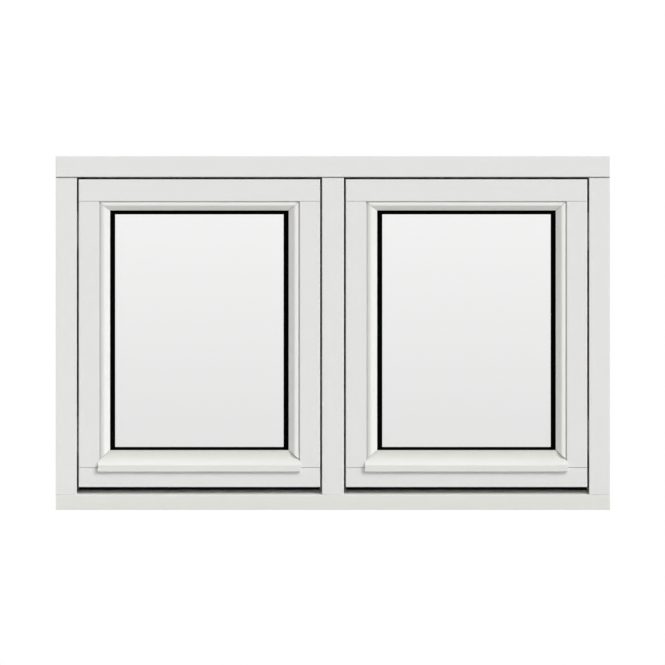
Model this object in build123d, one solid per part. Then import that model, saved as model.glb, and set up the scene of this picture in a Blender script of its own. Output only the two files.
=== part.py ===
from build123d import *
from math import cos, radians, sin, sqrt, tan
import os

# A double casement window in painted timber: an outer frame of head, jambs, mullion and sloping sill,
# and two side-hung sashes that close flush with its outside face.
# Millimetres, +Z up. X runs along the width, -Y is the weather side and +Y the room side.
# The origin is the middle of the sill's underside.

# Outer frame
FRAME_WIDTH = 1188.0
FRAME_HEIGHT = 758.0
FRAME_DEPTH = 115.0
JAMB_FACE = 45.0
HEAD_FACE = 45.0
MULLION_FACE = 47.0
SILL_FACE = 32.2
SILL_SLOPE = 12.0  # degrees
SILL_RISE = 10.2
SILL_FRONT_LEAN = 4.0  # degrees, the foot of the sill's front lies further back
STOP_OVERLAP = 11.0  # how far the stops behind a sash reach past its edge

# Clearances round a closed sash
SIDE_GAP = 4.0
TOP_GAP = 5.0
BOTTOM_GAP = 16.4
SEAL_GAP = 4.0

# Sash timber
SASH_THICKNESS = 68.0
STILE_FACE = 43.5
TOP_RAIL_FACE = 46.7
BOTTOM_RAIL_FACE = 41.4
ROOM_OVOLO = 9.0  # rounding of the timber round the glass on the room side

# Rounded edges and drip grooves
ARRIS = 2.0
SMALL_ARRIS = 0.8
END_EASE = 1.3
SILL_NOSING = 2.5
GROOVE_WIDTH = 6.0
GROOVE_DEPTH = 4.0
GROOVE_SETBACK = 9.0

# Open joints, seen as fine lines on the outside face
HEAD_JOINT = 2.2
TOP_RAIL_JOINT = 0.5
BOTTOM_RAIL_JOINT = 0.8
MITRE_JOINT = 0.9
JOINT_DEPTH = 8.0

# Glazing beads at the sides and top of the glass
SIDE_BEAD = 23.8
TOP_BEAD = 19.7
BEAD_DEPTH = 18.0
QUIRK_WIDTH = 2.0
QUIRK_DEPTH = 5.5
CROWN_INSET = 9.5
CROWN_DEPTH = 1.0
CROWN_RADIUS = 6.0
BEAD_SLOPE = 33.0  # degrees, from the crown down to the glass

# Drip bead along the foot of the glass
DRIP_FALL = 32.2
DRIP_NOSE = 13.5
DRIP_LAP = 8.1
DRIP_PROJECTION = 8.5
DRIP_OVERHANG = 2.0
DRIP_MITRE = 22.5  # how far the mitre with a side bead runs down
DRIP_HOLLOW = 4.4
DRIP_FRONT_LEAN = 4.0  # degrees
DRIP_NOSING = 1.2
DRIP_THROAT = 2.3

# Double glazing
PANE_THICKNESS = 4.0
CAVITY = 16.0
GASKET_THICKNESS = 3.0
EDGE_COVER = 15.0
GLASS_CLEARANCE = 5.0
SPACER_HEIGHT = 13.0
OUTER_LIP_SIDE = 11.0
OUTER_LIP_TOP = 8.6
OUTER_LIP_BOTTOM = 7.0
INNER_LIP = 2.5
BLOCK_LENGTH = 80.0

# Weather seal, hinges and frame fixings
SEAL_INSET = 2.0
SEAL_WIDTH = 7.0
SEAL_CLEARANCE = 0.4  # between the seal's foot and the sill
HINGE_LENGTH = 80.0
HINGE_WIDTH = 26.0
HINGE_SETBACK = 40.0
HINGE_FROM_END = 110.0
FIXING_HOLE = 10.0
FIXING_SETBACK = 36.0
FIXING_FROM_END = 230.0

# Handles on the room side of the meeting stiles
PLATE_WIDTH = 28.0
PLATE_HEIGHT = 74.0
PLATE_THICKNESS = 9.0
PLATE_CORNER = 6.0
PLATE_FROM_EDGE = 34.5
NECK_DIAMETER = 14.0
NECK_LENGTH = 22.0
GRIP_WIDTH = 16.0
GRIP_THICKNESS = 11.0
GRIP_LENGTH = 118.0
HANDLE_ARRIS = 2.0

# Places worked out from the sizes above
HALF_WIDTH = FRAME_WIDTH / 2
REBATE = SASH_THICKNESS + SEAL_GAP
JAMB_STOP = JAMB_FACE + SIDE_GAP + STOP_OVERLAP
MULLION_STOP = MULLION_FACE / 2 + SIDE_GAP + STOP_OVERLAP
HEAD_STOP = HEAD_FACE + TOP_GAP + STOP_OVERLAP
SILL_STOP = SILL_FACE + BOTTOM_GAP + STOP_OVERLAP
SILL_TOP = SILL_FACE + SILL_RISE

SASH_LEFT = -HALF_WIDTH + JAMB_FACE + SIDE_GAP
SASH_RIGHT = -MULLION_FACE / 2 - SIDE_GAP
SASH_BOTTOM = SILL_FACE + BOTTOM_GAP
SASH_TOP = FRAME_HEIGHT - HEAD_FACE - TOP_GAP
SASH_MIDDLE = (SASH_LEFT + SASH_RIGHT) / 2

RAIL_SHELF = SASH_BOTTOM + BOTTOM_RAIL_FACE
SIGHT_LEFT = SASH_LEFT + STILE_FACE + SIDE_BEAD
SIGHT_RIGHT = SASH_RIGHT - STILE_FACE - SIDE_BEAD
SIGHT_TOP = SASH_TOP - TOP_RAIL_FACE - TOP_BEAD
SIGHT_BOTTOM = RAIL_SHELF - DRIP_LAP + DRIP_NOSE + DRIP_FALL
REBATE_REACH = EDGE_COVER + GLASS_CLEARANCE

CROWN_END = CROWN_INSET + CROWN_RADIUS * sin(radians(BEAD_SLOPE))
CROWN_DROP = CROWN_RADIUS * (1 - cos(radians(BEAD_SLOPE)))
BEAD_TOE = CROWN_DEPTH + CROWN_DROP + (SIDE_BEAD - CROWN_END) * tan(radians(BEAD_SLOPE))

OUTER_PANE_FRONT = BEAD_DEPTH + GASKET_THICKNESS
CAVITY_FRONT = OUTER_PANE_FRONT + PANE_THICKNESS
INNER_PANE_FRONT = CAVITY_FRONT + CAVITY
GLASS_BACK = INNER_PANE_FRONT + PANE_THICKNESS
LIP_FRONT = GLASS_BACK + GASKET_THICKNESS


def depth(behind):
    """Y of a plane that lies this far behind the frame's outside face."""
    return behind - FRAME_DEPTH / 2


def prism(outline, plane, start, end, sharp=False):
    """An outline of (across, up, corner radius) points on a plane, drawn out along the plane's normal."""
    corners = [(across, up) for across, up, _ in outline]
    radii = [0 if sharp else radius for _, _, radius in outline]
    if any(radii):
        edge = FilletPolyline(*corners, radius=radii, close=True)
    else:
        edge = Polyline(*corners, close=True)
    return extrude(plane.offset(start) * make_face(edge), amount=end - start)


def slab(area, front, back):
    """A block over an area (left, bottom, right, top), between two depths."""
    left, bottom, right, top = area
    centre = Pos((left + right) / 2, depth((front + back) / 2), (bottom + top) / 2)
    return centre * Box(right - left, back - front, top - bottom)


def panel(corners, front, back):
    """A flat polygon of (x, z) corners, made solid between two depths."""
    face = Plane.XZ.offset(-depth(front)) * make_face(Polyline(*corners, close=True))
    return extrude(face, amount=front - back)


def daylight(sides, top, bottom):
    """The area of glass in view, grown by these amounts."""
    return (SIGHT_LEFT - sides, SIGHT_BOTTOM - bottom, SIGHT_RIGHT + sides, SIGHT_TOP + top)


def opposite(part):
    """The same piece at the other side of its sash."""
    return mirror(part, about=Plane.YZ.offset(SASH_MIDDLE))


# Outer frame

def head_outline():
    return [
        (depth(0), FRAME_HEIGHT, SMALL_ARRIS),
        (depth(0), FRAME_HEIGHT - HEAD_FACE, ARRIS),
        (depth(REBATE), FRAME_HEIGHT - HEAD_FACE, 0),
        (depth(REBATE), FRAME_HEIGHT - HEAD_STOP, ARRIS),
        (depth(FRAME_DEPTH), FRAME_HEIGHT - HEAD_STOP, ARRIS),
        (depth(FRAME_DEPTH), FRAME_HEIGHT, SMALL_ARRIS),
    ]


def sill_outline():
    foot = SILL_FACE * tan(radians(SILL_FRONT_LEAN))
    groove_end = GROOVE_SETBACK + GROOVE_WIDTH
    return [
        (depth(0), SILL_FACE, SILL_NOSING),
        (depth(foot), 0, SMALL_ARRIS),
        (depth(GROOVE_SETBACK), 0, 0),
        (depth(GROOVE_SETBACK), GROOVE_DEPTH, 0),
        (depth(groove_end), GROOVE_DEPTH, 0),
        (depth(groove_end), 0, 0),
        (depth(FRAME_DEPTH), 0, SMALL_ARRIS),
        (depth(FRAME_DEPTH), SILL_STOP, ARRIS),
        (depth(REBATE), SILL_STOP, ARRIS),
        (depth(REBATE), SILL_TOP, 0),
        (depth(SILL_RISE / tan(radians(SILL_SLOPE))), SILL_TOP, 0),
    ]


def jamb_outline():
    return [
        (-HALF_WIDTH, depth(0), SMALL_ARRIS),
        (-HALF_WIDTH + JAMB_FACE, depth(0), ARRIS),
        (-HALF_WIDTH + JAMB_FACE, depth(REBATE), 0),
        (-HALF_WIDTH + JAMB_STOP, depth(REBATE), ARRIS),
        (-HALF_WIDTH + JAMB_STOP, depth(FRAME_DEPTH), ARRIS),
        (-HALF_WIDTH, depth(FRAME_DEPTH), SMALL_ARRIS),
    ]


def mullion_outline():
    half_face = MULLION_FACE / 2
    return [
        (-half_face, depth(0), ARRIS),
        (half_face, depth(0), ARRIS),
        (half_face, depth(REBATE), 0),
        (MULLION_STOP, depth(REBATE), ARRIS),
        (MULLION_STOP, depth(FRAME_DEPTH), ARRIS),
        (-MULLION_STOP, depth(FRAME_DEPTH), ARRIS),
        (-MULLION_STOP, depth(REBATE), ARRIS),
        (-half_face, depth(REBATE), 0),
    ]


def ease_ends(part, left, right, back, front_ease, back_ease):
    """Chamfer the upright edges at both ends of a level member."""
    for end in (left, right):
        for behind, ease in ((0, front_ease), (back, back_ease)):
            bar = Rot(0, 0, 45) * Box(ease * sqrt(2), ease * sqrt(2), 2 * FRAME_HEIGHT)
            part = part - Pos(end, depth(behind), FRAME_HEIGHT / 2) * bar
    return part


def fixing_holes():
    """Bores across the left jamb for the screws into the wall."""
    bore = Rot(0, 90, 0) * Cylinder(FIXING_HOLE / 2, 2 * JAMB_FACE)
    heights = (FIXING_FROM_END, FRAME_HEIGHT - FIXING_FROM_END)
    return [Pos(-HALF_WIDTH + JAMB_FACE / 2, depth(FIXING_SETBACK), height) * bore for height in heights]


def outer_frame():
    """Head and sill run through; the jambs and the mullion are scribed between them."""
    head_block = prism(head_outline(), Plane.YZ, -HALF_WIDTH, HALF_WIDTH, sharp=True)
    sill_block = prism(sill_outline(), Plane.YZ, -HALF_WIDTH, HALF_WIDTH, sharp=True)
    head = prism(head_outline(), Plane.YZ, -HALF_WIDTH, HALF_WIDTH)
    sill = prism(sill_outline(), Plane.YZ, -HALF_WIDTH, HALF_WIDTH)
    under_head = FRAME_HEIGHT - HEAD_FACE
    open_joint = slab((-HALF_WIDTH, under_head - HEAD_JOINT, HALF_WIDTH, under_head), 0, JOINT_DEPTH)
    taken = head_block + sill_block + open_joint
    jamb = prism(jamb_outline(), Plane.XY, 0, FRAME_HEIGHT) - taken - fixing_holes()
    mullion = prism(mullion_outline(), Plane.XY, 0, FRAME_HEIGHT) - taken
    return {
        "frame_head": ease_ends(head, -HALF_WIDTH, HALF_WIDTH, FRAME_DEPTH, SMALL_ARRIS, SMALL_ARRIS),
        "frame_sill": ease_ends(sill, -HALF_WIDTH, HALF_WIDTH, FRAME_DEPTH, SMALL_ARRIS, SMALL_ARRIS),
        "frame_left_jamb": largest(jamb),
        "frame_right_jamb": mirror(largest(jamb), about=Plane.YZ),
        "frame_mullion": largest(mullion),
    }


def largest(part):
    """The body of a piece, without the offcut that the drip groove leaves below it."""
    return part.solids().sort_by(SortBy.VOLUME)[-1]


# Sash timber

def stile_outline():
    wall = SIGHT_LEFT - REBATE_REACH
    return [
        (SASH_LEFT, depth(0), ARRIS),
        (SASH_LEFT + STILE_FACE, depth(0), SMALL_ARRIS),
        (SASH_LEFT + STILE_FACE, depth(BEAD_DEPTH), 0),
        (wall, depth(BEAD_DEPTH), 0),
        (wall, depth(LIP_FRONT), 0),
        (SIGHT_LEFT, depth(LIP_FRONT), 0),
        (SIGHT_LEFT, depth(SASH_THICKNESS), 0),
        (SASH_LEFT, depth(SASH_THICKNESS), SMALL_ARRIS),
    ]


def top_rail_outline():
    wall = SIGHT_TOP + REBATE_REACH
    return [
        (depth(0), SASH_TOP, ARRIS),
        (depth(0), SASH_TOP - TOP_RAIL_FACE, SMALL_ARRIS),
        (depth(BEAD_DEPTH), SASH_TOP - TOP_RAIL_FACE, 0),
        (depth(BEAD_DEPTH), wall, 0),
        (depth(LIP_FRONT), wall, 0),
        (depth(LIP_FRONT), SIGHT_TOP, 0),
        (depth(SASH_THICKNESS), SIGHT_TOP, 0),
        (depth(SASH_THICKNESS), SASH_TOP, SMALL_ARRIS),
    ]


def bottom_rail_outline():
    wall = SIGHT_BOTTOM - REBATE_REACH
    groove_end = GROOVE_SETBACK + GROOVE_WIDTH
    return [
        (depth(0), SASH_BOTTOM, SMALL_ARRIS),
        (depth(GROOVE_SETBACK), SASH_BOTTOM, 0),
        (depth(GROOVE_SETBACK), SASH_BOTTOM + GROOVE_DEPTH, 0),
        (depth(groove_end), SASH_BOTTOM + GROOVE_DEPTH, 0),
        (depth(groove_end), SASH_BOTTOM, 0),
        (depth(SASH_THICKNESS), SASH_BOTTOM, SMALL_ARRIS),
        (depth(SASH_THICKNESS), SIGHT_BOTTOM, 0),
        (depth(LIP_FRONT), SIGHT_BOTTOM, 0),
        (depth(LIP_FRONT), wall, 0),
        (depth(BEAD_DEPTH), wall, 0),
        (depth(BEAD_DEPTH), RAIL_SHELF, 0),
        (depth(0), RAIL_SHELF, SMALL_ARRIS),
    ]


def flare_section(low, high):
    """Section of the cut that rounds two facing edges on the room side, as (across, depth) edges."""
    edge = depth(SASH_THICKNESS)
    inner = edge - ROOM_OVOLO
    past = edge + ROOM_OVOLO
    sides = Polyline((low - ROOM_OVOLO, edge), (low - ROOM_OVOLO, past), (high + ROOM_OVOLO, past),
                     (high + ROOM_OVOLO, edge))
    right = RadiusArc((high + ROOM_OVOLO, edge), (high, inner), -ROOM_OVOLO)
    across = Line((high, inner), (low, inner))
    left = RadiusArc((low, inner), (low - ROOM_OVOLO, edge), -ROOM_OVOLO)
    return make_face([sides, right, across, left])


def room_flare():
    """What is cut from a sash to round its timber round the glass on the room side."""
    plan = flare_section(SIGHT_LEFT, SIGHT_RIGHT)
    upright = extrude(Plane.XY.offset(SASH_BOTTOM) * plan, amount=SASH_TOP - SASH_BOTTOM)
    side_view = Plane((SASH_LEFT, 0, 0), x_dir=(0, 0, 1), z_dir=(-1, 0, 0))
    level = extrude(side_view * flare_section(SIGHT_BOTTOM, SIGHT_TOP), amount=SASH_LEFT - SASH_RIGHT)
    return upright & level


def sash_timber():
    """Rails run through; the stiles are scribed between them."""
    flare = room_flare()
    top_block = prism(top_rail_outline(), Plane.YZ, SASH_LEFT, SASH_RIGHT, sharp=True)
    bottom_block = prism(bottom_rail_outline(), Plane.YZ, SASH_LEFT, SASH_RIGHT, sharp=True)
    top_rail = prism(top_rail_outline(), Plane.YZ, SASH_LEFT, SASH_RIGHT) - flare
    bottom_rail = prism(bottom_rail_outline(), Plane.YZ, SASH_LEFT, SASH_RIGHT) - flare
    under_rail = SASH_TOP - TOP_RAIL_FACE
    top_joint = slab((SASH_LEFT, under_rail - TOP_RAIL_JOINT, SASH_RIGHT, under_rail), 0, JOINT_DEPTH)
    bottom_joint = slab((SASH_LEFT, RAIL_SHELF, SASH_RIGHT, RAIL_SHELF + BOTTOM_RAIL_JOINT), 0, JOINT_DEPTH)
    stile = prism(stile_outline(), Plane.XY, SASH_BOTTOM, SASH_TOP) - top_block - bottom_block
    outer_stile = largest(stile - top_joint - bottom_joint) - flare
    return {
        "sash_top_rail": ease_ends(top_rail, SASH_LEFT, SASH_RIGHT, SASH_THICKNESS, END_EASE, SMALL_ARRIS),
        "sash_bottom_rail": ease_ends(
            bottom_rail, SASH_LEFT, SASH_RIGHT, SASH_THICKNESS, END_EASE, SMALL_ARRIS),
        "sash_outer_stile": outer_stile,
        "sash_inner_stile": opposite(outer_stile),
    }


# Glazing beads

def bead_section(width):
    """Quirk, shoulder, crown and slope of a glazing bead, as (across, depth) edges from timber to glass."""
    spread = width / SIDE_BEAD
    quirk = QUIRK_WIDTH * spread
    crown = CROWN_INSET * spread
    lift = QUIRK_DEPTH - CROWN_DEPTH
    shoulder = EllipticalCenterArc((crown, QUIRK_DEPTH), crown - quirk, lift, 180, arc_size=90)
    bend_centre = (crown, CROWN_DEPTH + CROWN_RADIUS)
    bend = EllipticalCenterArc(bend_centre, CROWN_RADIUS * spread, CROWN_RADIUS, 270, arc_size=BEAD_SLOPE)
    rest = Polyline(
        (CROWN_END * spread, CROWN_DEPTH + CROWN_DROP),
        (width, BEAD_TOE),
        (width, BEAD_DEPTH),
        (0, BEAD_DEPTH),
        (0, QUIRK_DEPTH),
        (quirk, QUIRK_DEPTH),
    )
    return make_face([shoulder, bend, rest])


def drip_section():
    """Hollow slope, nose and throat of the drip bead, as (depth, height) edges."""
    nose_foot = RAIL_SHELF - DRIP_LAP
    nose_top = nose_foot + DRIP_NOSE
    lean = DRIP_NOSE * tan(radians(DRIP_FRONT_LEAN))
    throat_front = DRIP_THROAT - DRIP_PROJECTION
    throat_back = throat_front + DRIP_THROAT
    slope_top = (BEAD_TOE, SIGHT_BOTTOM)
    tip = (-DRIP_PROJECTION, nose_top)
    slope = SagittaArc(slope_top, tip, DRIP_HOLLOW)
    rest = Polyline(
        tip,
        (lean - DRIP_PROJECTION, nose_foot),
        (throat_front, nose_foot),
        (throat_front, nose_foot + DRIP_THROAT),
        (throat_back, nose_foot + DRIP_THROAT),
        (throat_back, nose_foot),
        (0, nose_foot),
        (0, RAIL_SHELF),
        (BEAD_DEPTH, RAIL_SHELF),
        (BEAD_DEPTH, SIGHT_BOTTOM),
        slope_top,
    )
    section = make_face([slope, rest])
    return fillet(section.vertices().sort_by(Axis.X)[0], DRIP_NOSING)


def side_mitre():
    """Elevation of a side bead: mitred to the top bead above and to the drip bead below."""
    left = SASH_LEFT + STILE_FACE
    return [
        (left, SASH_TOP - TOP_RAIL_FACE),
        (SIGHT_LEFT, SIGHT_TOP),
        (SIGHT_LEFT, SIGHT_BOTTOM),
        (left, SIGHT_BOTTOM - DRIP_MITRE),
    ]


def mitre_joints():
    """Open joints along the upper and the lower mitre of a side bead, halfway into its thinnest part."""
    left = SASH_LEFT + STILE_FACE
    reach = (BEAD_TOE + BEAD_DEPTH) / 2
    mitres = (
        ((left, SASH_TOP - TOP_RAIL_FACE), (SIGHT_LEFT, SIGHT_TOP), -MITRE_JOINT),
        ((left, SIGHT_BOTTOM - DRIP_MITRE), (SIGHT_LEFT, SIGHT_BOTTOM), MITRE_JOINT),
    )
    joints = []
    for (outer_x, outer_z), (inner_x, inner_z), rise in mitres:
        mitre = [(outer_x, outer_z), (inner_x, inner_z)]
        other_side = [(inner_x, inner_z + rise), (outer_x, outer_z + rise)]
        joints.append(panel(mitre + other_side, 0, reach))
    return joints


def top_mitre():
    """Elevation of a top bead, mitred to both side beads."""
    top = SASH_TOP - TOP_RAIL_FACE
    return [
        (SASH_LEFT + STILE_FACE, top),
        (SASH_RIGHT - STILE_FACE, top),
        (SIGHT_RIGHT, SIGHT_TOP),
        (SIGHT_LEFT, SIGHT_TOP),
    ]


def drip_bead():
    """The bead fits between the stiles under the side beads, and its nose laps over the stiles' faces."""
    left = SASH_LEFT + STILE_FACE
    right = SASH_RIGHT - STILE_FACE
    plane = Plane((left - DRIP_OVERHANG, depth(0), 0), x_dir=(0, 1, 0), z_dir=(1, 0, 0))
    run = extrude(plane * drip_section(), amount=right - left + 2 * DRIP_OVERHANG)
    left_end = slab((left - DRIP_OVERHANG, SASH_BOTTOM, left, SASH_TOP), 0, BEAD_DEPTH)
    side_room = panel(side_mitre(), 0, BEAD_DEPTH)
    return run - left_end - opposite(left_end) - side_room - opposite(side_room)


def glazing_beads():
    """The top bead and the drip bead are mitred to the side beads."""
    left = SASH_LEFT + STILE_FACE
    right = SASH_RIGHT - STILE_FACE
    top = SASH_TOP - TOP_RAIL_FACE
    side_plane = Plane((left, depth(0), RAIL_SHELF), x_dir=(1, 0, 0), z_dir=(0, 0, 1))
    top_plane = Plane((left, depth(0), top), x_dir=(0, 0, -1), z_dir=(1, 0, 0))
    side_length = extrude(side_plane * bead_section(SIDE_BEAD), amount=top - RAIL_SHELF)
    top_length = extrude(top_plane * bead_section(TOP_BEAD), amount=right - left)
    outer_bead = (side_length & panel(side_mitre(), 0, BEAD_DEPTH)) - mitre_joints()
    return {
        "top_bead": top_length & panel(top_mitre(), 0, BEAD_DEPTH),
        "outer_bead": outer_bead,
        "inner_bead": opposite(outer_bead),
        "drip_bead": drip_bead(),
    }


# Double glazing

def ring(outer, inner, front, back):
    return slab(outer, front, back) - slab(inner, front, back)


def setting_blocks():
    """Two packers carry the panes on the bottom rail."""
    shelf = SIGHT_BOTTOM - REBATE_REACH
    quarter = (SIGHT_RIGHT - SIGHT_LEFT) / 4
    blocks = []
    for middle in (SASH_MIDDLE - quarter, SASH_MIDDLE + quarter):
        area = (middle - BLOCK_LENGTH / 2, shelf, middle + BLOCK_LENGTH / 2, shelf + GLASS_CLEARANCE)
        blocks.append(slab(area, OUTER_PANE_FRONT, GLASS_BACK))
    return Compound(blocks)


def glazing():
    """Two panes on a spacer, bedded between an outer and an inner gasket."""
    edge = daylight(EDGE_COVER, EDGE_COVER, EDGE_COVER)
    spacer_inside = EDGE_COVER - SPACER_HEIGHT
    spacer_hole = daylight(spacer_inside, spacer_inside, spacer_inside)
    outer_hole = daylight(-OUTER_LIP_SIDE, -OUTER_LIP_TOP, -OUTER_LIP_BOTTOM)
    inner_hole = daylight(-INNER_LIP, -INNER_LIP, -INNER_LIP)
    return {
        "outer_pane": slab(edge, OUTER_PANE_FRONT, CAVITY_FRONT),
        "inner_pane": slab(edge, INNER_PANE_FRONT, GLASS_BACK),
        "spacer": ring(edge, spacer_hole, CAVITY_FRONT, INNER_PANE_FRONT),
        "outer_gasket": ring(edge, outer_hole, BEAD_DEPTH, OUTER_PANE_FRONT),
        "inner_gasket": ring(edge, inner_hole, GLASS_BACK, LIP_FRONT),
        "setting_blocks": setting_blocks(),
    }


# Seal, hinges and handle

def weather_seal():
    """A strip round the back of the sash, pressed against the stops; its foot hangs down to the sill."""
    inside = SEAL_INSET + SEAL_WIDTH
    foot = SILL_TOP + SEAL_CLEARANCE
    outer = (SASH_LEFT + SEAL_INSET, foot, SASH_RIGHT - SEAL_INSET, SASH_TOP - SEAL_INSET)
    inner = (SASH_LEFT + inside, SASH_BOTTOM + inside, SASH_RIGHT - inside, SASH_TOP - inside)
    return ring(outer, inner, SASH_THICKNESS, REBATE)


def hinges():
    """Two plates between the outer stile and the jamb carry the sash."""
    back = HINGE_SETBACK + HINGE_WIDTH
    plates = []
    for middle in (SASH_BOTTOM + HINGE_FROM_END, SASH_TOP - HINGE_FROM_END):
        area = (SASH_LEFT - SIDE_GAP, middle - HINGE_LENGTH / 2, SASH_LEFT, middle + HINGE_LENGTH / 2)
        plates.append(slab(area, HINGE_SETBACK, back))
    return Compound(plates)


def room_plane(height, behind):
    """A plane on the meeting stile that faces the room, with its middle on the handle's axis."""
    return Plane((SASH_RIGHT - PLATE_FROM_EDGE, depth(behind), height), x_dir=(-1, 0, 0), z_dir=(0, 1, 0))


def handle():
    """A rose plate on the stile, and a neck with a grip that hangs down while the sash is shut."""
    height = (SASH_BOTTOM + SASH_TOP) / 2
    plate_back = SASH_THICKNESS + PLATE_THICKNESS
    neck_back = plate_back + NECK_LENGTH
    rose = room_plane(height, SASH_THICKNESS) * RectangleRounded(PLATE_WIDTH, PLATE_HEIGHT, PLATE_CORNER)
    plate = extrude(rose, amount=PLATE_THICKNESS)
    plate = fillet(plate.faces().sort_by(Axis.Y)[-1].edges(), HANDLE_ARRIS)
    neck = extrude(room_plane(height, plate_back) * Circle(NECK_DIAMETER / 2), amount=NECK_LENGTH)
    grip_middle = height + GRIP_WIDTH / 2 - GRIP_LENGTH / 2
    grip_face = SlotOverall(GRIP_LENGTH, GRIP_WIDTH, rotation=90)
    grip = extrude(room_plane(grip_middle, neck_back) * grip_face, amount=GRIP_THICKNESS)
    grip = fillet(grip.faces().sort_by(Axis.Y)[-1].edges(), HANDLE_ARRIS)
    return {"handle_plate": plate, "handle_neck": neck, "handle_grip": grip}


def left_sash():
    pieces = {}
    pieces.update(sash_timber())
    pieces.update(glazing_beads())
    pieces.update(glazing())
    pieces.update(handle())
    pieces["weather_seal"] = weather_seal()
    pieces["hinges"] = hinges()
    return pieces


def window():
    """Every piece by name; the right sash is the left one mirrored about the mullion."""
    pieces = outer_frame()
    for name, piece in left_sash().items():
        pieces["left_" + name] = piece
        pieces["right_" + name] = mirror(piece, about=Plane.YZ)
    return pieces


os.makedirs("parts", exist_ok=True)
for name, piece in window().items():
    export_step(piece, f"parts/{name}.step")
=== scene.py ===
import math
import bmesh
import bpy
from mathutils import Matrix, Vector


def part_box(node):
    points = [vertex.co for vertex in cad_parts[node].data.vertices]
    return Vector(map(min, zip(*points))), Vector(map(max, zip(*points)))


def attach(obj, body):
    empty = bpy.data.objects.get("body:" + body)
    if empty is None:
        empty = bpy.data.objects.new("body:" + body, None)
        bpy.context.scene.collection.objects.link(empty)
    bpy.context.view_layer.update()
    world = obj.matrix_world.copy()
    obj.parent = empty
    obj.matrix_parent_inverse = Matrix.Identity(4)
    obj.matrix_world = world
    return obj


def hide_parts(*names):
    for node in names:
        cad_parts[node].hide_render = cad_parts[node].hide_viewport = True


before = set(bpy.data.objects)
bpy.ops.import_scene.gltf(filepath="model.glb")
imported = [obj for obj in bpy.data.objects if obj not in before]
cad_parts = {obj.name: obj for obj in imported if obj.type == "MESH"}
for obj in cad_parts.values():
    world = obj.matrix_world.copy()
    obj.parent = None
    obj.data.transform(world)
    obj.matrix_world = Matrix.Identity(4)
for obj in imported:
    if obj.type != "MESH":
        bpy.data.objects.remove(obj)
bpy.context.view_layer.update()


# Outer frame: head and sill run through, jambs and mullion stand between them, with stops behind the
# sashes. Planed softwood, glued at the corners and sprayed white; the grain still shows faintly under the
# paint, along each member, and the paint of the sill turns a little yellower towards its front.

PAINT_WHITE = (0.772, 0.772, 0.768, 1)
PAINT_SHADED = (0.752, 0.752, 0.743, 1)
PAINT_ROUGHNESS = (0.38, 0.5)
PAINT_RELIEF = 0.2
PAINT_RELIEF_DEPTH = 0.0005
GRAIN_SCALE = 14
GRAIN_STRETCH = (1, 14, 14)  # packs the grain closer across the member than along it
GRAIN_FINENESS = 0.55
CLOUD_SCALE = 5
PEEL_SCALE = 420
PEEL_SHARE = 0.35  # relief of the orange peel against that of the grain
LEVEL_GRAIN = 0  # turns that lay the grain along a level member and along an upright one
UPRIGHT_GRAIN = math.radians(90)
SILL_FRONT_YELLOW = (0.784, 0.784, 0.752, 1)
SILL_TINT_CLEAR = -0.015  # depths between which the yellowing fades towards the room
SILL_TINT_FULL = -0.05
UNEVEN_SCALE = 30
UNEVEN_STRENGTH = (0.8, 1)  # weakest and strongest places of a mark, where it is full


def shader_group(name, inputs, outputs):
    """An empty node group with named sockets, what it is given, and the node for its results."""
    group = bpy.data.node_groups.new(name, "ShaderNodeTree")
    for socket, kind in inputs:
        group.interface.new_socket(socket, in_out="INPUT", socket_type="NodeSocket" + kind)
    for socket, kind in outputs:
        group.interface.new_socket(socket, in_out="OUTPUT", socket_type="NodeSocket" + kind)
    return group, group.nodes.new("NodeGroupInput").outputs, group.nodes.new("NodeGroupOutput")


def wire(tree, made, *inputs, **settings):
    """Give a node its settings and, in order or by name, its inputs: values or other nodes' outputs."""
    sources = list(enumerate(inputs))
    for key, value in settings.items():
        label = key.replace("_", " ").title()
        if label in made.inputs:
            sources.append((label, value))
        else:
            setattr(made, key, value)
    for place, source in sources:
        if isinstance(source, bpy.types.NodeSocket):
            tree.links.new(source, made.inputs[place])
        else:
            made.inputs[place].default_value = source
    return made


def node(tree, kind, *inputs, **settings):
    """A new node, wired."""
    return wire(tree, tree.nodes.new("ShaderNode" + kind), *inputs, **settings)


def mixed(tree, mask, under, over):
    """One colour where a mask is 0, and another where it is 1."""
    return node(tree, "Mix", data_type="RGBA", factor=mask, a=under, b=over).outputs["Result"]


def between(tree, value, limits):
    """A value from 0 to 1, spread between two limits."""
    least, most = limits
    return node(tree, "MapRange", value=value, to_min=least, to_max=most).outputs["Result"]


def new_material(name):
    """A new material, with its node tree and its shader."""
    material = bpy.data.materials.new(name)
    material.use_nodes = True
    tree = material.node_tree
    return material, tree, tree.nodes["Principled BSDF"]


def sprayed_paint_group():
    """Paint over planed timber: the grain runs along X, with a fine orange peel on top."""
    group, given, result = shader_group(
        "sprayed_paint",
        [("Vector", "Vector"), ("White", "Color"), ("Shaded", "Color")],
        [("Color", "Color"), ("Roughness", "Float"), ("Height", "Float")],
    )
    fibre = node(group, "VectorMath", given["Vector"], GRAIN_STRETCH, operation="MULTIPLY").outputs[0]
    grain = node(group, "TexNoise", vector=fibre, scale=GRAIN_SCALE, detail=4, roughness=GRAIN_FINENESS)
    cloud = node(group, "TexNoise", vector=given["Vector"], scale=CLOUD_SCALE, detail=2)
    peel = node(group, "TexNoise", vector=given["Vector"], scale=PEEL_SCALE, detail=1)
    tone = node(group, "Math", grain.outputs["Fac"], cloud.outputs["Fac"], operation="MULTIPLY")
    height = node(group, "Math", peel.outputs["Fac"], PEEL_SHARE, grain.outputs["Fac"],
                  operation="MULTIPLY_ADD")
    wire(group, result, color=mixed(group, tone.outputs[0], given["White"], given["Shaded"]),
         roughness=between(group, cloud.outputs["Fac"], PAINT_ROUGHNESS), height=height.outputs[0])
    return group


PAINT_GROUP = sprayed_paint_group()


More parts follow.
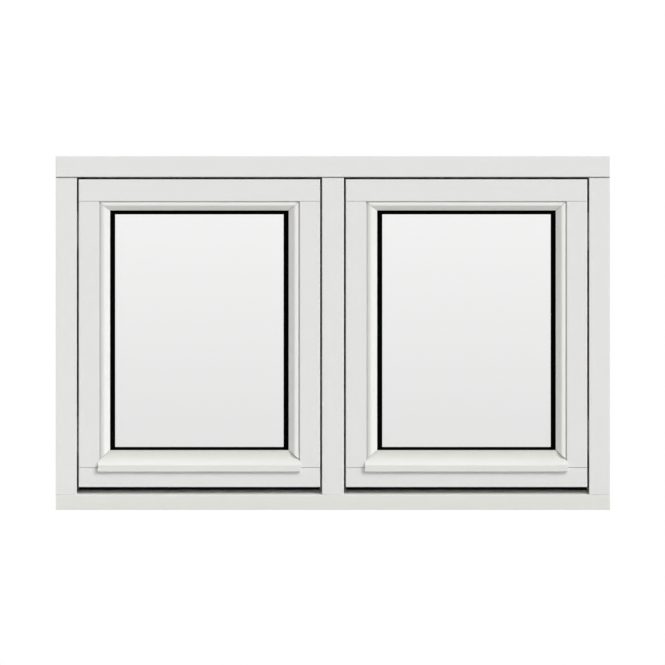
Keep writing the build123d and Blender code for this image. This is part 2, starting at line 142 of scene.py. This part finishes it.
def painted_timber(name, grain_turn, white=PAINT_WHITE, shaded=PAINT_SHADED):
    """White satin paint; grain_turn lays the grain along the member."""
    material, tree, shader = new_material(name)
    place = node(tree, "TexCoord").outputs["Object"]
    turn = node(tree, "Mapping", vector=place, rotation=(0, grain_turn, 0)).outputs["Vector"]
    paint = node(tree, "Group", node_tree=PAINT_GROUP, vector=turn, white=white, shaded=shaded)
    bump = node(tree, "Bump", height=paint.outputs["Height"], strength=PAINT_RELIEF,
                distance=PAINT_RELIEF_DEPTH)
    wire(tree, shader, base_color=paint.outputs["Color"], roughness=paint.outputs["Roughness"],
         normal=bump.outputs["Normal"])
    return material


def lay_over(material, mask, colour):
    """Lay a colour over a material's own, where a mask says so."""
    tree = material.node_tree
    base = tree.nodes["Principled BSDF"].inputs["Base Color"]
    tree.links.new(mixed(tree, mask, base.links[0].from_socket, colour), base)


def graded_mask_group():
    """Mask of a graded colour: none at one place along a coordinate, full at another, a little uneven."""
    group, given, result = shader_group(
        "graded_mark",
        [("Vector", "Vector"), ("Along", "Float"), ("Clear", "Float"), ("Full", "Float")],
        [("Mask", "Float")],
    )
    fade = node(group, "MapRange", value=given["Along"], from_min=given["Clear"], from_max=given["Full"])
    streak = node(group, "TexNoise", vector=given["Vector"], scale=UNEVEN_SCALE, detail=2)
    uneven = between(group, streak.outputs["Fac"], UNEVEN_STRENGTH)
    mask = node(group, "Math", fade.outputs["Result"], uneven, operation="MULTIPLY", use_clamp=True)
    wire(group, result, mask=mask.outputs[0])
    return group


GRADED_MASK_GROUP = graded_mask_group()


def lay_graded(material, mark, axis, clear, full):
    """Lay a colour that grows in along one axis over a painted member: painted shade on the drip, a tint on
    the sill.
    """
    tree = material.node_tree
    place = node(tree, "TexCoord").outputs["Object"]
    along = node(tree, "SeparateXYZ", vector=place).outputs[axis]
    graded = node(tree, "Group", node_tree=GRADED_MASK_GROUP, vector=place, along=along, clear=clear, full=full)
    lay_over(material, graded.outputs["Mask"], mark)


def dress(material, *names):
    """Give CAD nodes their finish."""
    for name in names:
        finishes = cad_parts[name].data.materials
        finishes.clear()
        finishes.append(material)


LEVEL_PAINT = painted_timber("white_paint_level", LEVEL_GRAIN)
UPRIGHT_PAINT = painted_timber("white_paint_upright", UPRIGHT_GRAIN)
SILL_PAINT = painted_timber("white_paint_sill", LEVEL_GRAIN)
# The sill's paint turns a little yellower towards its front.
lay_graded(SILL_PAINT, SILL_FRONT_YELLOW, "Y", SILL_TINT_CLEAR, SILL_TINT_FULL)
dress(LEVEL_PAINT, "frame_head")
dress(SILL_PAINT, "frame_sill")
dress(UPRIGHT_PAINT, "frame_left_jamb", "frame_right_jamb", "frame_mullion")


# Sash timber and glazing beads: rails run through with the stiles scribed between them, and moulded beads
# are pinned round the top and sides of the glass. The same timber and paint as the frame; on the beads the
# white is a little creamier, a painted tint that stands in for the warm cast of shade in their hollows.

SIDES = ("left", "right")
# Creamier white: a painted tint for the warm cast of shade in the bead hollows.
BEAD_WHITE_SHADE_TINTED = (0.772, 0.772, 0.754, 1)
BEAD_GRAIN_SHADE_TINTED = (0.752, 0.752, 0.730, 1)

LEVEL_BEAD_PAINT = painted_timber("white_paint_bead_level", LEVEL_GRAIN, BEAD_WHITE_SHADE_TINTED, BEAD_GRAIN_SHADE_TINTED)
UPRIGHT_BEAD_PAINT = painted_timber("white_paint_bead_upright", UPRIGHT_GRAIN, BEAD_WHITE_SHADE_TINTED, BEAD_GRAIN_SHADE_TINTED)
for side in SIDES:
    dress(LEVEL_PAINT, side + "_sash_top_rail", side + "_sash_bottom_rail")
    dress(UPRIGHT_PAINT, side + "_sash_outer_stile", side + "_sash_inner_stile")
    dress(LEVEL_BEAD_PAINT, side + "_top_bead")
    dress(UPRIGHT_BEAD_PAINT, side + "_outer_bead", side + "_inner_bead")


# Drip beads: a hollowed bead along the foot of the glass throws the rain clear of the rail below.
# Painted like the other beads; the hollow next to the glass is painted greyer and darker, a painted shade.

DRIP_PAINTED_SHADE = (0.60, 0.60, 0.56, 1)
PAINTED_SHADE_FALL = 0.027  # height over which the painted shade fades out

glass_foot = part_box("left_drip_bead")[1].z
DRIP_PAINT = painted_timber("white_paint_drip", LEVEL_GRAIN, BEAD_WHITE_SHADE_TINTED, BEAD_GRAIN_SHADE_TINTED)
# Painted shade: darker and greyer towards the foot of the glass, where the hollow lies in shadow.
lay_graded(DRIP_PAINT, DRIP_PAINTED_SHADE, "Z", glass_foot - PAINTED_SHADE_FALL, glass_foot)
dress(DRIP_PAINT, "left_drip_bead", "right_drip_bead")


# Panes: two sheets of clear float glass to a sash, with a sealed cavity between them, held in the rebate
# of the sash by the beads. Washing has left the faintest unevenness on their gloss.

GLASS_TINT = (0.972, 0.974, 0.970, 1)
GLASS_IOR = 1.5
GLASS_ROUGHNESS = (0, 0.012)
WASHED_SCALE = 9


def clear_glass():
    """Glass with a washed gloss, which lets the light of the lamps straight through."""
    material, tree, shader = new_material("clear_glass")
    place = node(tree, "TexCoord").outputs["Object"]
    washed = node(tree, "TexNoise", vector=place, scale=WASHED_SCALE, detail=3)
    wire(tree, shader, base_color=GLASS_TINT, transmission_weight=1,
         roughness=between(tree, washed.outputs["Fac"], GLASS_ROUGHNESS))
    shader.inputs["IOR"].default_value = GLASS_IOR
    clear = node(tree, "BsdfTransparent", color=GLASS_TINT)
    lamp_ray = node(tree, "LightPath").outputs["Is Shadow Ray"]
    choice = node(tree, "MixShader", lamp_ray, shader.outputs["BSDF"], clear.outputs["BSDF"])
    wire(tree, tree.nodes["Material Output"], surface=choice.outputs["Shader"])
    return material


GLASS = clear_glass()
for side in SIDES:
    dress(GLASS, side + "_outer_pane", side + "_inner_pane")


# Spacers: a roll-formed black bar bent round the cavity between the panes and sealed to both.
# A row of fine holes along its middle lets the drying agent inside reach the air of the cavity.

SPACER_BLACK = (0.035, 0.035, 0.037, 1)
SPACER_WORN = (0.055, 0.055, 0.058, 1)
SPACER_HOLE = (0.002, 0.002, 0.002, 1)
SPACER_ROUGHNESS = (0.35, 0.5)
SPACER_SPECKLE = 180
HOLE_PITCH = 0.006
HOLE_SIZE = 0.0012
MOTTLE_RELIEF = 0.1
MOTTLE_RELIEF_DEPTH = 0.0002
PLAIN_SPECULAR = 0.5


def mottle_group():
    """Slightly uneven tone and gloss, as on moulded, rolled or plated surfaces."""
    group, given, result = shader_group(
        "surface_mottle",
        [("Vector", "Vector"), ("Scale", "Float"), ("Plain", "Color"), ("Marked", "Color"),
         ("Smooth", "Float"), ("Rough", "Float")],
        [("Color", "Color"), ("Roughness", "Float"), ("Height", "Float")],
    )
    speckle = node(group, "TexNoise", vector=given["Vector"], scale=given["Scale"], detail=3).outputs["Fac"]
    gloss = node(group, "MapRange", value=speckle, to_min=given["Smooth"], to_max=given["Rough"])
    wire(group, result, color=mixed(group, speckle, given["Plain"], given["Marked"]),
         roughness=gloss.outputs["Result"], height=speckle)
    return group


MOTTLE_GROUP = mottle_group()


def mottled(name, scale, plain, marked, roughness, specular=PLAIN_SPECULAR, metallic=0):
    """A material with the mottle on its colour, gloss and relief."""
    material, tree, shader = new_material(name)
    smooth, rough = roughness
    place = node(tree, "TexCoord").outputs["Object"]
    mottle = node(tree, "Group", node_tree=MOTTLE_GROUP, vector=place, scale=scale, plain=plain,
                  marked=marked, smooth=smooth, rough=rough)
    bump = node(tree, "Bump", height=mottle.outputs["Height"], strength=MOTTLE_RELIEF,
                distance=MOTTLE_RELIEF_DEPTH)
    wire(tree, shader, base_color=mottle.outputs["Color"], roughness=mottle.outputs["Roughness"],
         normal=bump.outputs["Normal"], metallic=metallic)
    shader.inputs["Specular IOR Level"].default_value = specular
    return material


def spacer_bar():
    """Black bar with holes; X plus Z runs along an upright and a level length alike."""
    material = mottled("black_spacer", SPACER_SPECKLE, SPACER_BLACK, SPACER_WORN, SPACER_ROUGHNESS)
    tree = material.node_tree
    low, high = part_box("left_spacer")
    row = (low.y + high.y) / 2
    place = node(tree, "TexCoord").outputs["Object"]
    split = node(tree, "SeparateXYZ", vector=place)
    along = node(tree, "Math", split.outputs["X"], split.outputs["Z"], operation="ADD")
    beat = node(tree, "Math", along.outputs[0], HOLE_PITCH / 2, operation="PINGPONG")
    near_beat = node(tree, "Math", beat.outputs[0], HOLE_SIZE / 2, operation="LESS_THAN")
    near_row = node(tree, "Math", split.outputs["Y"], row, HOLE_SIZE / 2, operation="COMPARE")
    hole = node(tree, "Math", near_beat.outputs[0], near_row.outputs[0], operation="MULTIPLY")
    lay_over(material, hole.outputs[0], SPACER_HOLE)
    return material


SPACER = spacer_bar()
dress(SPACER, "left_spacer", "right_spacer")


# Setting blocks: two packers to a sash carry its panes on the bottom rail, out of sight in the rebate.
# Moulded in blue plastic, and laid under the glass before the beads go on.

PACKER_BLUE = (0.035, 0.11, 0.34, 1)
PACKER_PALE = (0.06, 0.16, 0.42, 1)
PACKER_ROUGHNESS = (0.4, 0.6)
PACKER_SPECKLE = 90

PACKER = mottled("blue_packer", PACKER_SPECKLE, PACKER_BLUE, PACKER_PALE, PACKER_ROUGHNESS)
dress(PACKER, "left_setting_blocks", "right_setting_blocks")


# Gaskets: extruded black rubber, mitred and vulcanised at the corners, with a soft lip against each pane.
# The outer one shows as a broad black band round the glass; the inner one shows as a thin line.

RUBBER_BLACK = (0.0006, 0.0006, 0.0006, 1)
RUBBER_DUSTY = (0.0018, 0.0018, 0.0018, 1)
RUBBER_ROUGHNESS = (0.6, 0.85)
RUBBER_SPECULAR = 0.01
RUBBER_SPECKLE = 260
OUTER_LIP_SIDE = 0.011
OUTER_LIP_TOP = 0.0086
OUTER_LIP_BOTTOM = 0.007
INNER_LIP = 0.0025
OUTER_LIP_ROUND = 0.0022
INNER_LIP_ROUND = 0.0015
LIP_STEPS = 5
FIRST_INSET = 0.002  # where the inner edge of a ring starts, before it is drawn to its place
TOUCH = 1e-5  # nearness that counts as touching
SMOOTH_ANGLE = math.radians(35)

RUBBER = mottled("black_rubber", RUBBER_SPECKLE, RUBBER_BLACK, RUBBER_DUSTY, RUBBER_ROUGHNESS,
                 specular=RUBBER_SPECULAR)


def meets(value, target):
    """Whether two coordinates are the same."""
    return abs(value - target) < TOUCH


def on_border(place, area):
    """Whether a point lies on one of the four sides of an area (left, foot, right, top)."""
    left, foot, right, top = area
    return meets(place.x, left) or meets(place.x, right) or meets(place.z, foot) or meets(place.z, top)


def pick(piece, kind, passes):
    """In edit mode, select the edges or faces whose middle and direction, or normal, pass a test."""
    bpy.ops.mesh.select_mode(type=kind)
    bpy.ops.mesh.select_all(action="DESELECT")
    shape = bmesh.from_edit_mesh(piece.data)
    if kind == "FACE":
        for face in shape.faces:
            if passes(face.calc_center_median(), face.normal):
                face.select_set(True)
    else:
        for edge in shape.edges:
            start, end = (corner.co for corner in edge.verts)
            if passes((start + end) / 2, (end - start).normalized()):
                edge.select_set(True)
    bmesh.update_edit_mesh(piece.data)


def round_edges(piece, radius, steps, passes):
    """In edit mode, round the edges whose middle and direction pass a test."""
    pick(piece, "EDGE", passes)
    bpy.ops.mesh.bevel(offset=radius, segments=steps, affect="EDGES")


def rubber_ring(outer, opening, front, back):
    """A ring between two depths: a sheet, inset to its opening, then drawn to its thickness."""
    left, foot, right, top = outer
    hole_left, hole_foot, hole_right, hole_top = opening
    middle = Vector(((left + right) / 2, front, (foot + top) / 2))
    hole_middle = Vector(((hole_left + hole_right) / 2, front, (hole_foot + hole_top) / 2))
    bpy.ops.object.select_all(action="DESELECT")
    bpy.ops.mesh.primitive_plane_add(size=1, location=middle, rotation=(math.radians(90), 0, 0))
    ring = bpy.context.object
    ring.scale = (right - left, top - foot, 1)
    bpy.ops.object.transform_apply()
    bpy.ops.object.mode_set(mode="EDIT")
    bpy.ops.mesh.select_all(action="SELECT")
    bpy.ops.mesh.inset(thickness=FIRST_INSET)
    across = (hole_right - hole_left) / (right - left - 2 * FIRST_INSET)
    upward = (hole_top - hole_foot) / (top - foot - 2 * FIRST_INSET)
    bpy.ops.transform.resize(value=(across, 1, upward), center_override=middle)
    bpy.ops.transform.translate(value=hole_middle - middle)
    bpy.ops.mesh.delete(type="FACE")
    bpy.ops.mesh.select_all(action="SELECT")
    bpy.ops.mesh.extrude_region_move(TRANSFORM_OT_translate={"value": (0, back - front, 0)})
    bpy.ops.mesh.select_all(action="SELECT")
    bpy.ops.mesh.normals_make_consistent(inside=False)
    return ring


def fit_pair(piece, name, cad_name, material):
    """Smooth a piece of the left sash, copy it to the right one, and put both in the place of CAD nodes."""
    bpy.ops.object.mode_set(mode="OBJECT")
    bpy.ops.object.shade_smooth_by_angle(angle=SMOOTH_ANGLE)
    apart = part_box("right_" + cad_name)[0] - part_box("left_" + cad_name)[0]
    bpy.ops.object.duplicate_move(TRANSFORM_OT_translate={"value": apart})
    twin = bpy.context.object
    bpy.ops.object.transform_apply()
    for side, fitted in zip(SIDES, (piece, twin)):
        fitted.name = side + "_" + name
        fitted.data.materials.append(material)
        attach(fitted, "root")
        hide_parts(side + "_" + cad_name)


def glazing_gasket(face, lips, lip_round):
    """A ring whose lip covers the glass inside the beads; its edge away from the glass is rounded."""
    low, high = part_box("left_" + face + "_gasket")
    side_lip, top_lip, foot_lip = lips
    opening = (
        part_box("left_outer_bead")[1].x + side_lip,
        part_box("left_drip_bead")[1].z + foot_lip,
        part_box("left_inner_bead")[0].x - side_lip,
        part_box("left_top_bead")[0].z - top_lip,
    )
    ring = rubber_ring((low.x, low.z, high.x, high.z), opening, low.y, high.y)
    free = low.y if face == "outer" else high.y
    round_edges(ring, lip_round, LIP_STEPS,
                lambda middle, _: meets(middle.y, free) and on_border(middle, opening))
    fit_pair(ring, face + "_glazing_rubber", face + "_gasket", RUBBER)


glazing_gasket("outer", (OUTER_LIP_SIDE, OUTER_LIP_TOP, OUTER_LIP_BOTTOM), OUTER_LIP_ROUND)
glazing_gasket("inner", (INNER_LIP, INNER_LIP, INNER_LIP), INNER_LIP_ROUND)


# Weather seals: a soft black bulb in a groove behind each sash, pressed against the stops of the frame.
# The length along the foot hangs down to the sill and closes the wide gap there.

SEAL_DARK = (0.020, 0.020, 0.017, 1)
SEAL_DUSTY = (0.034, 0.034, 0.029, 1)
SEAL_ROUGHNESS = (0.7, 0.9)
SEAL_SPECULAR = 0.1
SEAL_SPECKLE = 200
SEAL_WIDTH = 0.007
SEAL_FOOT_WIDTH = 0.0148
BULB_ROUND = 0.0019
BULB_STEPS = 5

SEAL_RUBBER = mottled("seal_rubber", SEAL_SPECKLE, SEAL_DARK, SEAL_DUSTY, SEAL_ROUGHNESS,
                      specular=SEAL_SPECULAR)


def bulb_seal():
    """A ring with both of its edges towards the stops rounded, and a wider length along the foot."""
    low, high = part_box("left_weather_seal")
    outline = (low.x, low.z, high.x, high.z)
    opening = (low.x + SEAL_WIDTH, low.z + SEAL_FOOT_WIDTH, high.x - SEAL_WIDTH, high.z - SEAL_WIDTH)
    ring = rubber_ring(outline, opening, low.y, high.y)
    round_edges(ring, BULB_ROUND, BULB_STEPS, lambda middle, _: meets(middle.y, high.y)
                and (on_border(middle, opening) or on_border(middle, outline)))
    fit_pair(ring, "bulb_seal", "weather_seal", SEAL_RUBBER)


bulb_seal()


# Hinges: steel leaves let in between the outer stiles and the jambs, two to a sash, and screwed to both.
# Pressed from strip and zinc-plated; a shut sash hides them.

ZINC_BRIGHT = (0.56, 0.57, 0.58, 1)
ZINC_DULL = (0.40, 0.41, 0.42, 1)
ZINC_ROUGHNESS = (0.3, 0.5)
ZINC_SPECKLE = 140

ZINC = mottled("zinc_plate", ZINC_SPECKLE, ZINC_BRIGHT, ZINC_DULL, ZINC_ROUGHNESS, metallic=1)
dress(ZINC, "left_hinges", "right_hinges")


# Handles: a rose plate screwed to each meeting stile on the room side, its screws under two caps,
# with a turned neck and a cast lever that hangs down while the sash is shut. Satin stainless steel.

STEEL_BRIGHT = (0.55, 0.54, 0.52, 1)
STEEL_DULL = (0.44, 0.43, 0.41, 1)
STEEL_ROUGHNESS = (0.2, 0.36)
BRUSH_SCALE = 90
BRUSH_STRETCH = (30, 30, 1)  # packs the brush marks closer across than upwards
BRUSH_RELIEF = 0.06
BRUSH_RELIEF_DEPTH = 0.0002
FACING = 0.9  # how nearly a direction has to follow an axis to count as lying along it
TURNED_SIDES = 48
ROSE_CORNER = 0.006
ROSE_CORNER_STEPS = 6
ROSE_RIM = 0.002
ROSE_RIM_STEPS = 4
ROSE_SEAM = (0.0024, 0.003)  # heights above the timber between which the cover meets its base
SEAM_DEPTH = 0.0005
CAP_RADIUS = 0.0042
CAP_HEIGHT = 0.0009
CAP_STEP = 0.35  # share of the radius that each step of its dome takes
CAP_RISES = (0.5, 0.15)  # shares of the height that the steps rise
CAP_SPACING = 0.043
COLLAR_RADIUS = 0.0105
COLLAR_HEIGHT = 0.003
COLLAR_EDGE = 0.0009
COLLAR_EDGE_STEPS = 3
NECK_WAIST = 0.84
NECK_RUNS = ((0.3, NECK_WAIST), (0.45, 1), (0.25, 1 / NECK_WAIST))  # shares of its length, and widening
NECK_ENTRY = 0.0025  # how far the neck goes into the lever
LEVER_RUNS = (  # shares of the length below the head, widening and thickening
    (0.12, 0.74, 0.8),
    (0.38, 1.24, 1.1),
    (0.38, 1.08, 1.08),
    (0.12, 0.8, 0.8),
)
LEVER_END_ROUND = 0.006
LEVER_END_STEPS = 5
LEVER_ROUND = 0.0024
LEVER_ROUND_STEPS = 2
LEVER_SMOOTHING = 2


def satin_steel():
    """Fine vertical brush marks on tone and gloss."""
    material, tree, shader = new_material("satin_steel")
    place = node(tree, "TexCoord").outputs["Object"]
    stroke = node(tree, "VectorMath", place, BRUSH_STRETCH, operation="MULTIPLY").outputs[0]
    brush = node(tree, "TexNoise", vector=stroke, scale=BRUSH_SCALE, detail=3).outputs["Fac"]
    bump = node(tree, "Bump", height=brush, strength=BRUSH_RELIEF, distance=BRUSH_RELIEF_DEPTH)
    wire(tree, shader, base_color=mixed(tree, brush, STEEL_BRIGHT, STEEL_DULL), metallic=1,
         roughness=between(tree, brush, STEEL_ROUGHNESS), normal=bump.outputs["Normal"])
    return material


STEEL = satin_steel()


def block(low, high):
    """A block between two corners, left open in edit mode."""
    bpy.ops.object.select_all(action="DESELECT")
    bpy.ops.mesh.primitive_cube_add(size=1, location=(low + high) / 2, scale=high - low)
    bpy.ops.object.transform_apply()
    bpy.ops.object.mode_set(mode="EDIT")
    return bpy.context.object


def turned_blank(radius, height, base):
    """A short round blank that stands on a base point and points into the room, open in edit mode."""
    middle = base + Vector((0, height / 2, 0))
    bpy.ops.object.select_all(action="DESELECT")
    bpy.ops.mesh.primitive_cylinder_add(vertices=TURNED_SIDES, radius=radius, depth=height, location=middle,
                                        rotation=(math.radians(-90), 0, 0))
    bpy.ops.object.transform_apply()
    bpy.ops.object.mode_set(mode="EDIT")
    return bpy.context.object


def faces_room(_, normal):
    """Whether a face looks into the room."""
    return normal.y > FACING


def screw_cap(base):
    """A shallow domed cap that stands on a base point."""
    cap = turned_blank(CAP_RADIUS, CAP_HEIGHT, base)
    pick(cap, "FACE", faces_room)
    for rise in CAP_RISES:
        bpy.ops.mesh.inset(thickness=CAP_RADIUS * CAP_STEP, depth=CAP_HEIGHT * rise)
    bpy.ops.object.mode_set(mode="OBJECT")
    return cap


def rose_plate():
    """A base and a cover with a fine seam between them, rounded corners and rim, and two screw caps."""
    low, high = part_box("left_handle_plate")
    plate = block(low, high)
    round_edges(plate, ROSE_CORNER, ROSE_CORNER_STEPS, lambda _, direction: abs(direction.y) > FACING)
    round_edges(plate, ROSE_RIM, ROSE_RIM_STEPS, lambda middle, _: meets(middle.y, high.y))
    seam_foot, seam_top = (low.y + height for height in ROSE_SEAM)
    for cut in (seam_foot, seam_top):
        bpy.ops.mesh.select_all(action="SELECT")
        bpy.ops.mesh.bisect(plane_co=(0, cut, 0), plane_no=(0, 1, 0))
    pick(plate, "FACE", lambda middle, _: seam_foot < middle.y < seam_top)
    bpy.ops.mesh.inset(thickness=0, depth=-SEAM_DEPTH, use_even_offset=True)
    bpy.ops.object.mode_set(mode="OBJECT")
    cap = screw_cap(Vector(((low.x + high.x) / 2, high.y, (low.z + high.z - CAP_SPACING) / 2)))
    bpy.ops.object.duplicate_move(TRANSFORM_OT_translate={"value": (0, 0, CAP_SPACING)})
    cap.select_set(True)
    plate.select_set(True)
    bpy.context.view_layer.objects.active = plate
    bpy.ops.object.join()
    fit_pair(plate, "handle_rose", "handle_plate", STEEL)


def collar_neck():
    """A collar on the rose, and a waisted neck that runs into the lever."""
    low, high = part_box("left_handle_neck")
    centre_x, centre_z = (low.x + high.x) / 2, (low.z + high.z) / 2
    collar_top = low.y + COLLAR_HEIGHT
    piece = turned_blank(COLLAR_RADIUS, COLLAR_HEIGHT, Vector((centre_x, low.y, centre_z)))
    round_edges(piece, COLLAR_EDGE, COLLAR_EDGE_STEPS, lambda middle, _: meets(middle.y, collar_top))
    pick(piece, "FACE", faces_room)
    bpy.ops.mesh.inset(thickness=COLLAR_RADIUS - COLLAR_EDGE - (high.x - low.x) / 2)
    reach = collar_top
    for share, widening in NECK_RUNS:
        run = (high.y - collar_top) * share
        reach += run
        bpy.ops.mesh.extrude_region_move(TRANSFORM_OT_translate={"value": (0, run, 0)})
        bpy.ops.transform.resize(value=(widening, 1, widening), center_override=(centre_x, reach, centre_z))
    bpy.ops.mesh.extrude_region_move(TRANSFORM_OT_translate={"value": (0, NECK_ENTRY, 0)})
    fit_pair(piece, "handle_collar_neck", "handle_neck", STEEL)


def lever():
    """A cast lever: a round head on the neck, a narrow waist, and a grip that swells towards its end."""
    low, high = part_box("left_handle_grip")
    centre_x = (low.x + high.x) / 2
    head_foot = high.z - (high.x - low.x)
    grip = block(Vector((low.x, low.y, head_foot)), high)
    foot = head_foot
    for share, wide, thick in LEVER_RUNS:
        run = (head_foot - low.z) * share
        foot -= run
        pick(grip, "FACE", lambda _, normal: normal.z < -FACING)
        bpy.ops.mesh.extrude_region_move(TRANSFORM_OT_translate={"value": (0, 0, -run)})
        bpy.ops.transform.resize(value=(wide, thick, 1), center_override=(centre_x, low.y, foot))
    for end in (high.z, low.z):
        round_edges(grip, LEVER_END_ROUND, LEVER_END_STEPS,
                    lambda middle, direction: abs(direction.y) > FACING and meets(middle.z, end))
    bpy.ops.mesh.select_all(action="SELECT")
    bpy.ops.mesh.bevel(offset=LEVER_ROUND, segments=LEVER_ROUND_STEPS, affect="EDGES")
    bpy.ops.object.mode_set(mode="OBJECT")
    smooth = grip.modifiers.new("smooth", "SUBSURF")
    smooth.levels = LEVER_SMOOTHING
    smooth.render_levels = LEVER_SMOOTHING
    bpy.ops.object.modifier_apply(modifier=smooth.name)
    fit_pair(grip, "handle_lever", "handle_grip", STEEL)


rose_plate()
collar_neck()
lever()


# Stage: a pale floor, a backdrop that only rays through the glass see, and a white surround. Even light from
# all round, a soft lamp at the upper right of the outside, and a weaker one on the room side.

FLOOR_SIZE = 16
FLOOR_BOUNCE = (0.57, 0.57, 0.57, 1)
FLOOR_SEEN = (0.70, 0.70, 0.70, 1)
FLOOR_ROUGHNESS = 0.9
BACKDROP_SIZE = 12
BACKDROP_DISTANCE = 3.2
GLASS_VIEW_FOOT = 0.77  # brightness of the backdrop, at its foot and top, and the heights of both
GLASS_VIEW_FOOT_HEIGHT = 0.1
GLASS_VIEW_TOP = 0.93
GLASS_VIEW_TOP_HEIGHT = 0.65
AMBIENT = 0.52
AMBIENT_TINT = (1, 1, 0.965, 1)
SURROUND_WHITE = (1, 1, 1, 1)
KEY_TOWARDS = (0.60, -0.60, 0.53)
KEY_LEVEL = 0.70  # what a lamp adds to a white surface that faces it
KEY_SPREAD = math.radians(28)
ROOM_TOWARDS = (-0.3, 0.62, 0.72)
ROOM_LEVEL = 0.34
ROOM_SPREAD = math.radians(40)


def flat_sheet(name, size, location, turn, material):
    """A square sheet for the stage."""
    bpy.ops.object.select_all(action="DESELECT")
    bpy.ops.mesh.primitive_plane_add(size=size, location=location, rotation=(turn, 0, 0))
    sheet = bpy.context.object
    sheet.name = name
    sheet.data.materials.append(material)


def seen_rays(tree):
    """Mask of the rays that show a thing to the camera: straight, in a reflection or through the glass."""
    rays = node(tree, "LightPath").outputs
    plain = node(tree, "Math", rays["Is Camera Ray"], rays["Is Glossy Ray"], operation="MAXIMUM")
    return node(tree, "Math", plain.outputs[0], rays["Is Transmission Ray"], operation="MAXIMUM").outputs[0]


def floor_grey():
    """Matt grey, a little darker in the light that it throws back than to the eye."""
    material, tree, shader = new_material("floor_grey")
    colour = mixed(tree, seen_rays(tree), FLOOR_BOUNCE, FLOOR_SEEN)
    wire(tree, shader, base_color=colour, roughness=FLOOR_ROUGHNESS)
    shader.inputs["Specular IOR Level"].default_value = 0
    return material


def view_through_glass():
    """A pale glow that is brighter towards the top, clear to all rays but those through the glass."""
    material, tree, _ = new_material("view_through_glass")
    place = node(tree, "NewGeometry").outputs["Position"]
    upward = node(tree, "SeparateXYZ", vector=place).outputs["Z"]
    fade = node(tree, "MapRange", value=upward, from_min=GLASS_VIEW_FOOT_HEIGHT, to_min=GLASS_VIEW_FOOT,
                from_max=GLASS_VIEW_TOP_HEIGHT, to_max=GLASS_VIEW_TOP)
    glow = node(tree, "Emission", strength=fade.outputs["Result"])
    clear = node(tree, "BsdfTransparent")
    glass_ray = node(tree, "LightPath").outputs["Is Transmission Ray"]
    choice = node(tree, "MixShader", glass_ray, clear.outputs["BSDF"], glow.outputs["Emission"])
    wire(tree, tree.nodes["Material Output"], surface=choice.outputs["Shader"])
    return material


def soft_studio():
    """Even light from all round, which is plain white to the eye."""
    world = bpy.data.worlds.new("soft_studio")
    world.use_nodes = True
    tree = world.node_tree
    light = wire(tree, tree.nodes["Background"], color=AMBIENT_TINT, strength=AMBIENT)
    white = node(tree, "Background", color=SURROUND_WHITE)
    choice = node(tree, "MixShader", seen_rays(tree), light.outputs[0], white.outputs[0])
    wire(tree, tree.nodes["World Output"], surface=choice.outputs["Shader"])
    return world


def soft_lamp(name, towards, level, spread, glare):
    """A broad parallel light from far off; glare lets it show in reflections."""
    lamp = bpy.data.lights.new(name, "SUN")
    lamp.energy = level * math.pi
    lamp.angle = spread
    sun = bpy.data.objects.new(name, lamp)
    sun.rotation_euler = Vector(towards).to_track_quat("Z", "Y").to_euler()
    sun.visible_glossy = glare
    bpy.context.scene.collection.objects.link(sun)


flat_sheet("floor", FLOOR_SIZE, (0, 0, 0), 0, floor_grey())
flat_sheet("backdrop", BACKDROP_SIZE, (0, BACKDROP_DISTANCE, 0), math.radians(90), view_through_glass())
bpy.context.scene.world = soft_studio()
soft_lamp("key_light", KEY_TOWARDS, KEY_LEVEL, KEY_SPREAD, glare=False)
soft_lamp("room_light", ROOM_TOWARDS, ROOM_LEVEL, ROOM_SPREAD, glare=True)


# Camera: straight on from outside, without perspective, as the photograph is taken.
# The width of the view and its middle are the photograph's, at the window's real size.

VIEW_WIDTH = 1.4255
VIEW_CENTRE = (-0.0009, 0.3798)
CAMERA_DISTANCE = 3

lens = bpy.data.cameras.new("front_view")
lens.type = "ORTHO"
lens.ortho_scale = VIEW_WIDTH
camera = bpy.data.objects.new("front_view", lens)
camera.location = (VIEW_CENTRE[0], -CAMERA_DISTANCE, VIEW_CENTRE[1])
camera.rotation_euler = (math.radians(90), 0, 0)
bpy.context.scene.collection.objects.link(camera)
bpy.context.scene.camera = camera
bpy.context.scene.view_settings.view_transform = "Standard"
